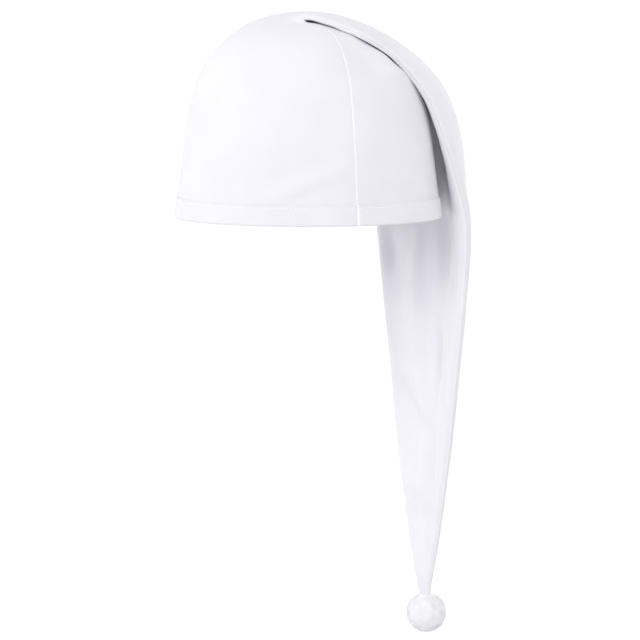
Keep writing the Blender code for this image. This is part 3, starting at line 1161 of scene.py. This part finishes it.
def grow(piece: bpy.types.Object, tree: bpy.types.NodeTree, name: str,
         values: dict[str, object]) -> bpy.types.Object:
    """Run a geometry node tree on an object and keep its result as a plain mesh.

    Args:
        piece: The object that the tree starts from; it is taken away.
        tree: The geometry node tree.
        name: The new object's name.
        values: Values for the tree's named inputs.

    Returns:
        The new object.
    """
    modifier = piece.modifiers.new("grow", "NODES")
    modifier.node_group = tree
    for item in tree.interface.items_tree:
        if item.name in values:
            modifier[item.identifier] = values[item.name]
    seen = piece.evaluated_get(bpy.context.evaluated_depsgraph_get())
    mesh = bpy.data.meshes.new_from_object(seen)
    mesh.name = name
    grown = add_object(name, mesh)
    piece.modifiers.remove(modifier)
    bpy.data.objects.remove(piece, do_unlink=True)
    return grown


def stitch_tree() -> bpy.types.NodeTree:
    """Make the tree that sets small thread stitches along a line.

    Returns:
        The tree.
    """
    sway, roll = 0.04, 0.09
    least, most = (0.93, 0.9, 0.9), (1.05, 1.1, 1.1)
    flatness = 0.9
    sheet, given = growth_tree("stitch_row", "Pitch", "Stitch Length", "Thread Width")
    curve = sheet.get("GeometryNodeMeshToCurve", Mesh=given["Geometry"])
    spaced = sheet.get("GeometryNodeResampleCurve", {"mode": "LENGTH"}, Curve=curve,
                       Length=given["Pitch"])
    tangent = sheet.get("GeometryNodeInputTangent")
    out = sheet.get("GeometryNodeInputNamedAttribute", {"data_type": "FLOAT_VECTOR"}, Name="out")
    turn = sheet.get("FunctionNodeAlignRotationToVector", {"axis": "X"}, Vector=tangent)
    turn = sheet.get("FunctionNodeAlignRotationToVector", {"axis": "Z", "pivot_axis": "X"},
                     Rotation=turn, Vector=out)
    turn = sheet.turned(turn, sheet.vary((0, -sway, -roll), (0, sway, roll), given["Seed"]))
    half = sheet.times(given["Thread Width"], 0.5)
    bead = sheet.get("GeometryNodeMeshUVSphere", Segments=10, Rings=7, Radius=half)
    stretch = sheet.maths("DIVIDE", given["Stitch Length"], given["Thread Width"])
    size = sheet.get("ShaderNodeCombineXYZ", X=stretch, Y=1.0, Z=flatness)
    stitch = sheet.get("GeometryNodeTransform", Geometry=bead, Scale=size)
    uneven = sheet.vary(least, most, given["Seed"])
    placed = sheet.get("GeometryNodeInstanceOnPoints", Points=spaced, Instance=stitch,
                       Rotation=turn, Scale=uneven)
    return finish_tree(sheet, placed, given["Material"])


def pile_tree() -> bpy.types.NodeTree:
    """Make the tree that grows short bent yarn ends from a surface, and keeps the surface.

    Returns:
        The tree.
    """
    tip_share = 0.22
    shortest, longest = 0.75, 1.12
    sheet, given = growth_tree("yarn_pile", "Density", "Pile Length", "Yarn Width", "Bend",
                               "Spread", "Bare Above")
    spots = sheet.add("GeometryNodeDistributePointsOnFaces", Mesh=given["Geometry"],
                      Density=given["Density"], Seed=given["Seed"])
    place = sheet.get("GeometryNodeInputPosition")
    level = sheet.add("ShaderNodeSeparateXYZ", Vector=place).outputs["Z"]
    bare = sheet.get("FunctionNodeCompare", {"operation": "GREATER_THAN"}, A=level,
                     B=given["Bare Above"])
    radius = sheet.times(given["Yarn Width"], 0.5)
    tip = sheet.times(given["Yarn Width"], tip_share)
    end = sheet.get("GeometryNodeMeshCone", {"fill_type": "NGON"}, Vertices=4, Side_Segments=1,
                    Radius_Top=tip, Radius_Bottom=radius, Depth=given["Pile Length"])
    share = sheet.maths("DIVIDE", level, given["Pile Length"])
    curl = sheet.times(sheet.times(share, share), given["Bend"])
    shift = sheet.get("ShaderNodeCombineXYZ", X=curl)
    bent = sheet.get("GeometryNodeSetPosition", Geometry=end, Offset=shift)
    lean = sheet.vary((-1, -1, -math.pi), (1, 1, math.pi), given["Seed"])
    spread = sheet.get("ShaderNodeCombineXYZ", X=given["Spread"], Y=given["Spread"], Z=1.0)
    lean = sheet.get("ShaderNodeVectorMath", {"operation": "MULTIPLY"}, n0=lean, n1=spread)
    turn = sheet.turned(spots.outputs["Rotation"], lean)
    scale = sheet.add("FunctionNodeRandomValue", {"data_type": "FLOAT"}, n2=shortest,
                      n3=longest, Seed=given["Seed"]).outputs[1]
    pile = sheet.get("GeometryNodeInstanceOnPoints", Points=spots.outputs["Points"],
                     Instance=bent, Rotation=turn, Scale=scale)
    pile = sheet.get("GeometryNodeDeleteGeometry", {"domain": "INSTANCE"}, Geometry=pile,
                     Selection=bare)
    both = sheet.add("GeometryNodeJoinGeometry")
    for part in (given["Geometry"], pile):
        sheet.feed(both, Geometry=part)
    return finish_tree(sheet, both.outputs[0], given["Material"])


def cloth_weave() -> bpy.types.NodeTree:
    """Make the group that gives a fine knit's height and its threads on the flat cloth.

    Returns:
        The group.
    """
    loop_depth = 0.25
    edge_power, spine_power = 3.0, 4.0
    spine_depth = 0.7
    sheet = new_tree("cloth_weave", "ShaderNodeTree",
                     {"Vector": "NodeSocketVector", "Wale": "NodeSocketFloat",
                      "Course": "NodeSocketFloat"},
                     {"Height": "NodeSocketFloat", "Thread": "NodeSocketFloat"})
    given = sheet.add("NodeGroupInput").outputs
    flat = sheet.add("ShaderNodeSeparateXYZ", Vector=given["Vector"]).outputs
    share = sheet.maths("FRACT", sheet.maths("DIVIDE", flat["X"], given["Wale"]))
    away = sheet.maths("ABSOLUTE", sheet.maths("SUBTRACT", share, 0.5))
    phase = sheet.plus(sheet.maths("DIVIDE", flat["Y"], given["Course"]), away)
    wave = sheet.maths("SINE", sheet.times(phase, 2 * math.pi))
    loop = sheet.plus(sheet.times(wave, loop_depth), 1 - loop_depth)
    reach = sheet.times(away, 2.0)
    edge = sheet.maths("POWER", reach, edge_power)
    spine = sheet.maths("POWER", sheet.maths("SUBTRACT", 1.0, reach), spine_power)
    hollow = sheet.plus(edge, sheet.times(spine, spine_depth))
    height = sheet.times(loop, sheet.maths("SUBTRACT", 1.0, hollow))
    sheet.add("NodeGroupOutput", Height=height, Thread=loop)
    return sheet.tree


def brushed_fuzz() -> bpy.types.NodeTree:
    """Make the group that gives a cloth's broad tone, its small mottle and its fuzz's height.

    Returns:
        The group.
    """
    mottles_a_patch = 9.0
    sheet = new_tree("brushed_fuzz", "ShaderNodeTree",
                     {"Vector": "NodeSocketVector", "Patch": "NodeSocketFloat",
                      "Fibre": "NodeSocketFloat"},
                     {"Tone": "NodeSocketFloat", "Mottle": "NodeSocketFloat",
                      "Fuzz": "NodeSocketFloat"})
    given = sheet.add("NodeGroupInput").outputs
    patch = sheet.maths("DIVIDE", 1.0, given["Patch"])
    fibre = sheet.maths("DIVIDE", 1.0, given["Fibre"])
    small = sheet.times(patch, mottles_a_patch)
    made = {}
    for name, scale, detail, rough, swirl in (("Tone", patch, 2.0, 0.5, 0.0),
                                              ("Mottle", small, 3.0, 0.6, 0.0),
                                              ("Fuzz", fibre, 4.0, 0.65, 0.8)):
        made[name] = sheet.get("ShaderNodeTexNoise", Vector=given["Vector"], Scale=scale,
                               Detail=detail, Roughness=rough, Distortion=swirl)
    sheet.add("NodeGroupOutput", **made)
    return sheet.tree


# The pompom


@dataclass
class YarnPompom:
    """A ball of short dense yarn, its soft locks round one head."""

    shape: BagShape
    clear: float = 0.0001
    locks: int = 46
    lock_angle: float = math.radians(17.0)
    lock_height: float = 0.0006
    rings: int = 100
    steps: int = 160
    tuft_size: float = 0.0012
    tuft_height: float = 0.00007
    tuft_seed: float = 4.4
    pile_length: float = 0.0007
    pile_share: float = 0.1
    yarn_width: float = 0.00017
    density: float = 4_300_000.0
    bend: float = 0.0003
    spread: float = 0.85
    neck_share: float = 0.44
    seed: int = 7

    def centre(self) -> np.ndarray:
        """Find the ball's middle, right under the tail's tip.

        Returns:
            The point.
        """
        s = self.shape.sizes
        tip = TAIL[-1]
        return np.array([tip.shift * s.head_width / 2,
                         tip.edge_y * s.head_length / 2 + s.pompom_lean,
                         -s.tail_drop - self.clear - s.pompom_diameter / 2])

    def head(self) -> bpy.types.Object:
        """Make the head that the pile grows from, with the locks' soft lumps.

        Returns:
            The head's object, a closed ball.
        """
        golden = math.pi * (3 - math.sqrt(5))
        order = np.arange(self.locks)
        up = 1 - 2 * (order + 0.5) / self.locks
        flat = np.sqrt(1 - up * up)
        ways = np.stack([flat * np.cos(golden * order), flat * np.sin(golden * order), up], 1)
        lift = np.linspace(0, math.pi, self.rings + 1)[1:-1, None]
        turn = np.linspace(0, 2 * math.pi, self.steps, endpoint=False)[None]
        rays = np.stack([np.sin(lift) * np.cos(turn), np.sin(lift) * np.sin(turn),
                         np.cos(lift) * np.ones_like(turn)], axis=2).reshape(-1, 3)
        rays = np.vstack([[0, 0, 1], rays, [0, 0, -1]])
        nearest = np.arccos(np.clip((rays @ ways.T).max(axis=1), -1, 1))
        sunk = self.lock_height * np.minimum(1, nearest / self.lock_angle) ** 2
        skin = self.shape.sizes.pompom_diameter / 2 - self.pile_length * self.pile_share
        tufts = self.tuft_height * grain(rays * skin, self.tuft_size, self.tuft_seed)
        points = self.centre() + rays * (skin - sunk + tufts)[:, None]
        faces = []
        last = len(points) - 1
        for step in range(self.steps):
            after = (step + 1) % self.steps
            faces.append((0, 1 + step, 1 + after))
            for ring in range(self.rings - 2):
                upper = 1 + ring * self.steps
                faces.append((upper + step, upper + self.steps + step,
                              upper + self.steps + after, upper + after))
            upper = 1 + (self.rings - 2) * self.steps
            faces.append((upper + step, last, upper + after))
        mesh = bpy.data.meshes.new("pompom_head")
        mesh.from_pydata(points.tolist(), [], faces)
        return add_object("pompom_head", mesh)

    def build(self, yarn: bpy.types.Material) -> bpy.types.Object:
        """Grow the pile on the head.

        Args:
            yarn: The yarn's material.

        Returns:
            The ball's object.
        """
        neck = float(self.centre()[2]) + self.shape.sizes.pompom_diameter * self.neck_share
        values = {"Density": self.density, "Pile Length": self.pile_length,
                  "Yarn Width": self.yarn_width, "Bend": self.bend, "Spread": self.spread,
                  "Bare Above": neck, "Material": yarn, "Seed": self.seed}
        return grow(self.head(), pile_tree(), "pompom_yarn", values)


# Finishes


def start_material(name: str) -> tuple[bpy.types.Material, NodeSheet, bpy.types.Node]:
    """Start a node material.

    Args:
        name: Its name.

    Returns:
        The material, its sheet and its shader.
    """
    material = bpy.data.materials.new(name)
    material.use_nodes = True
    sheet = NodeSheet(material.node_tree)
    return material, sheet, sheet.tree.nodes["Principled BSDF"]


def uneven_rough(sheet: NodeSheet, mottle: bpy.types.NodeSocket, middle: float,
                 swing: float) -> bpy.types.NodeSocket:
    """A roughness that varies with a cloth's mottle, about a middle value."""
    return sheet.plus(sheet.times(mottle, swing), middle - swing / 2)


@dataclass(frozen=True)
class BrushedCotton:
    """A white knitted cotton with a brushed face, painted paler along its seams as a highlight."""

    name: str
    light: Colour
    shade: Colour
    # Painted highlight: the paler colour along the raised seam edges, where they catch light.
    seam: Colour = (0.95, 0.945, 0.97, 1)
    wale: float = 0.00085
    course: float = 0.00060
    patch: float = 0.045
    fibre: float = 0.00035
    tone_span: tuple[float, float] = (0.35, 0.65)
    thread_shade: float = 0.30
    mottle_shade: float = 0.12
    # How much of the painted seam highlight shows right at a seam.
    highlight_share: float = 0.8
    roughness: float = 0.88
    rough_swing: float = 0.10
    specular: float = 0.25
    sheen: float = 0.25
    sheen_roughness: float = 0.55
    knit_height: float = 0.6
    fuzz_height: float = 0.7
    bump: float = 0.55
    bump_depth: float = 0.00016

    def material(self, weave: bpy.types.NodeTree, fuzz: bpy.types.NodeTree) -> bpy.types.Material:
        """Make the material.

        Args:
            weave: The shared group of the knit.
            fuzz: The shared group of the brushed face.

        Returns:
            The material.
        """
        material, sheet, shader = start_material(self.name)
        places = sheet.add("ShaderNodeTexCoord").outputs["Object"]
        flat = sheet.get("ShaderNodeUVMap", {"uv_map": "cloth"})
        knit = sheet.add("ShaderNodeGroup", {"node_tree": weave}, Vector=flat, Wale=self.wale,
                         Course=self.course).outputs
        nap = sheet.add("ShaderNodeGroup", {"node_tree": fuzz}, Vector=places, Patch=self.patch,
                        Fibre=self.fibre).outputs
        near = sheet.add("ShaderNodeAttribute", {"attribute_name": "seam"}).outputs["Fac"]
        low, high = self.tone_span
        tone = sheet.get("ShaderNodeMapRange", Value=nap["Tone"], From_Min=low, From_Max=high)
        body = sheet.blend(tone, self.light, self.shade)
        dim = sheet.times(sheet.maths("SUBTRACT", 1.0, knit["Thread"]), self.thread_shade)
        dim = sheet.plus(dim, sheet.times(nap["Mottle"], self.mottle_shade))
        body = sheet.blend(dim, body, self.shade)
        # Painted highlight along the seams, where the seam attribute is high.
        body = sheet.blend(sheet.times(near, self.highlight_share), body, self.seam)
        rough = uneven_rough(sheet, nap["Mottle"], self.roughness, self.rough_swing)
        height = sheet.times(knit["Height"], self.knit_height)
        height = sheet.plus(height, sheet.times(nap["Fuzz"], self.fuzz_height))
        relief = sheet.get("ShaderNodeBump", Strength=self.bump, Distance=self.bump_depth,
                           Height=height)
        sheet.feed(shader, Base_Color=body, Roughness=rough, Normal=relief,
                   Specular_IOR_Level=self.specular, Sheen_Weight=self.sheen,
                   Sheen_Roughness=self.sheen_roughness, Sheen_Tint=WHITE)
        return material


@dataclass(frozen=True)
class SpunYarn:
    """A soft white thread or yarn with fine fibres."""

    name: str
    light: Colour
    shade: Colour
    fibre: float
    sheen: float
    roughness: float = 0.85
    rough_swing: float = 0.12
    patch: float = 0.008
    specular: float = 0.2
    sheen_roughness: float = 0.5
    bump: float = 0.5
    bump_depth: float = 0.0001

    def material(self, fuzz: bpy.types.NodeTree) -> bpy.types.Material:
        """Make the material.

        Args:
            fuzz: The shared group of the brushed face.

        Returns:
            The material.
        """
        material, sheet, shader = start_material(self.name)
        places = sheet.add("ShaderNodeTexCoord").outputs["Object"]
        nap = sheet.add("ShaderNodeGroup", {"node_tree": fuzz}, Vector=places, Patch=self.patch,
                        Fibre=self.fibre).outputs
        body = sheet.blend(nap["Tone"], self.light, self.shade)
        rough = uneven_rough(sheet, nap["Mottle"], self.roughness, self.rough_swing)
        relief = sheet.get("ShaderNodeBump", Strength=self.bump, Distance=self.bump_depth,
                           Height=nap["Fuzz"])
        sheet.feed(shader, Base_Color=body, Roughness=rough, Normal=relief,
                   Specular_IOR_Level=self.specular, Sheen_Weight=self.sheen,
                   Sheen_Roughness=self.sheen_roughness)
        return material


# The studio


class SoftBox(NamedTuple):
    """A large soft light, by its direction from the cap, in degrees and metres."""

    name: str
    azimuth: float
    elevation: float
    watts: float
    distance: float = 2.6
    size: float = 2.0


@dataclass(frozen=True)
class Studio:
    """A plain pale floor, plain soft light and the photograph's camera."""

    sky: float = 0.745
    sky_colour: Colour = (0.98, 0.98, 1.0, 1.0)
    paper: Colour = (0.80, 0.80, 0.81, 1.0)
    seen_white: float = 1.05
    floor_level: float = -0.75
    floor_radius: float = 60.0
    floor_corners: int = 96
    aim_height: float = -0.0779
    camera_azimuth: float = 65.0
    camera_distance: float = 2.20
    camera_height: float = 0.2041
    side_shift: float = 0.0082
    lens: float = 166.07
    sensor_width: float = 36.0
    far_end: float = 200.0
    boxes: tuple[SoftBox, ...] = (
        SoftBox("front_box", 12.0, 20.0, 10.5),
        SoftBox("left_box", -40.0, 4.0, 20.5),
        SoftBox("fill_box", 65.0, 35.0, 21.0),
        SoftBox("side_box", 100.0, 14.0, 7.0),
        SoftBox("back_box", 210.0, 4.0, 24.0),
    )

    def build(self) -> None:
        """Build the floor, the light and the camera."""
        self.floor()
        self.light()
        self.camera()
        settings = bpy.context.scene.view_settings
        settings.view_transform = "Standard"
        settings.look = "None"

    def floor(self) -> None:
        """Lay a wide round floor that the camera sees as lit white paper."""
        turn = np.linspace(0, 2 * math.pi, self.floor_corners, endpoint=False)
        rim = [(self.floor_radius * math.cos(angle), self.floor_radius * math.sin(angle),
                self.floor_level) for angle in turn]
        mesh = bpy.data.meshes.new("studio_floor")
        mesh.from_pydata(rim, [], [tuple(range(len(rim)))])
        material, sheet, _ = start_material("pale_paper")
        sheet.tree.nodes.clear()
        seen = sheet.add("ShaderNodeLightPath").outputs["Is Camera Ray"]
        paper = sheet.get("ShaderNodeBsdfDiffuse", Color=self.paper)
        lit = sheet.get("ShaderNodeEmission", Color=WHITE, Strength=self.seen_white)
        both = sheet.get("ShaderNodeMixShader", n0=seen, n1=paper, n2=lit)
        under = sheet.add("ShaderNodeNewGeometry").outputs["Backfacing"]
        clear = sheet.get("ShaderNodeBsdfTransparent")
        both = sheet.get("ShaderNodeMixShader", n0=under, n1=both, n2=clear)
        sheet.add("ShaderNodeOutputMaterial", Surface=both)
        mesh.materials.append(material)
        add_object("studio_floor", mesh)

    def light(self) -> None:
        """Set up an even white surround and a few soft boxes."""
        world = bpy.data.worlds.new("studio")
        bpy.context.scene.world = world
        world.use_nodes = True
        sheet = NodeSheet(world.node_tree)
        sheet.tree.nodes.clear()
        seen = sheet.add("ShaderNodeLightPath").outputs["Is Camera Ray"]
        soft = sheet.get("ShaderNodeBackground", Color=self.sky_colour, Strength=self.sky)
        bright = sheet.get("ShaderNodeBackground", Color=WHITE, Strength=self.seen_white)
        both = sheet.get("ShaderNodeMixShader", n0=seen, n1=soft, n2=bright)
        sheet.add("ShaderNodeOutputWorld", Surface=both)
        for box in self.boxes:
            data = bpy.data.lights.new(box.name, "AREA")
            data.shape = "DISK"
            data.size = box.size
            data.energy = box.watts
            turn, lift = math.radians(box.azimuth), math.radians(box.elevation)
            away = Vector((math.sin(turn) * math.cos(lift), -math.cos(turn) * math.cos(lift),
                           math.sin(lift)))
            lamp = add_object(box.name, data)
            lamp.location = away * box.distance
            lamp.rotation_euler = away.to_track_quat("Z", "Y").to_euler()

    def camera(self) -> None:
        """Place the camera where it sees the cap as the photograph does."""
        turn = math.radians(self.camera_azimuth)
        away = Vector((math.sin(turn), -math.cos(turn), 0.0))
        right = Vector((math.cos(turn), math.sin(turn), 0.0)) * self.side_shift
        place = away * self.camera_distance + right + Vector((0, 0, self.camera_height))
        aim = right + Vector((0, 0, self.aim_height))
        data = bpy.data.cameras.new("camera")
        data.lens = self.lens
        data.sensor_width = self.sensor_width
        data.dof.use_dof = False
        data.clip_end = self.far_end
        camera = add_object("camera", data)
        camera.location = place
        camera.rotation_euler = (place - aim).to_track_quat("Z", "Y").to_euler()
        bpy.context.scene.camera = camera


# Putting it together


def settle(piece: bpy.types.Object, slot: str, *nodes: str) -> None:
    """Let a piece ride with the cap, and hide the solids that it stands for.

    Args:
        piece: The finished piece.
        slot: The name of the piece's finish; not used.
        *nodes: The solids that it replaces.
    """
    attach(piece, "root")
    if nodes:
        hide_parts(*nodes)
    triangles = sum(len(face.vertices) - 2 for face in piece.data.polygons)
    LOG.info("%s: %d triangles, %s", piece.name, triangles, nodes or "no solid")


def main() -> None:
    """Build the nightcap's pieces in order, then the studio."""
    logging.basicConfig(level=logging.INFO, format="%(name)s: %(message)s", stream=sys.stdout)
    shape = BagShape()
    weave, fuzz = cloth_weave(), brushed_fuzz()
    cloth = BrushedCotton("cloth_white", light=(0.805, 0.795, 0.832, 1),
                          shade=(0.775, 0.765, 0.812, 1)).material(weave, fuzz)
    hem = BrushedCotton("hem_white", light=(0.808, 0.798, 0.832, 1),
                        shade=(0.768, 0.758, 0.802, 1)).material(weave, fuzz)
    thread = SpunYarn("stitch_thread", light=(0.95, 0.95, 0.97, 1), shade=(0.90, 0.90, 0.93, 1),
                      fibre=0.00025, sheen=0.1, roughness=0.6).material(fuzz)
    yarn = SpunYarn("pompom_white", light=(0.93, 0.92, 0.94, 1), shade=(0.89, 0.88, 0.91, 1),
                    fibre=0.0004, sheen=0.2).material(fuzz)

    front, back = ClothBag(shape).build()
    for panel, node in ((front, "front_panel"), (back, "back_panel")):
        panel.data.materials.append(cloth)
        settle(panel, "cloth_white", node)

    hem_band = HemBand(shape)
    band = hem_band.build()
    band.data.materials.append(hem)
    settle(band, "hem_white", "hem_band")
    settle(hem_band.stitches(thread), "hem_white")

    settle(YarnPompom(shape).build(yarn), "pompom_white", "pompom")

    Studio().build()


if __name__ == "__main__":
    main()
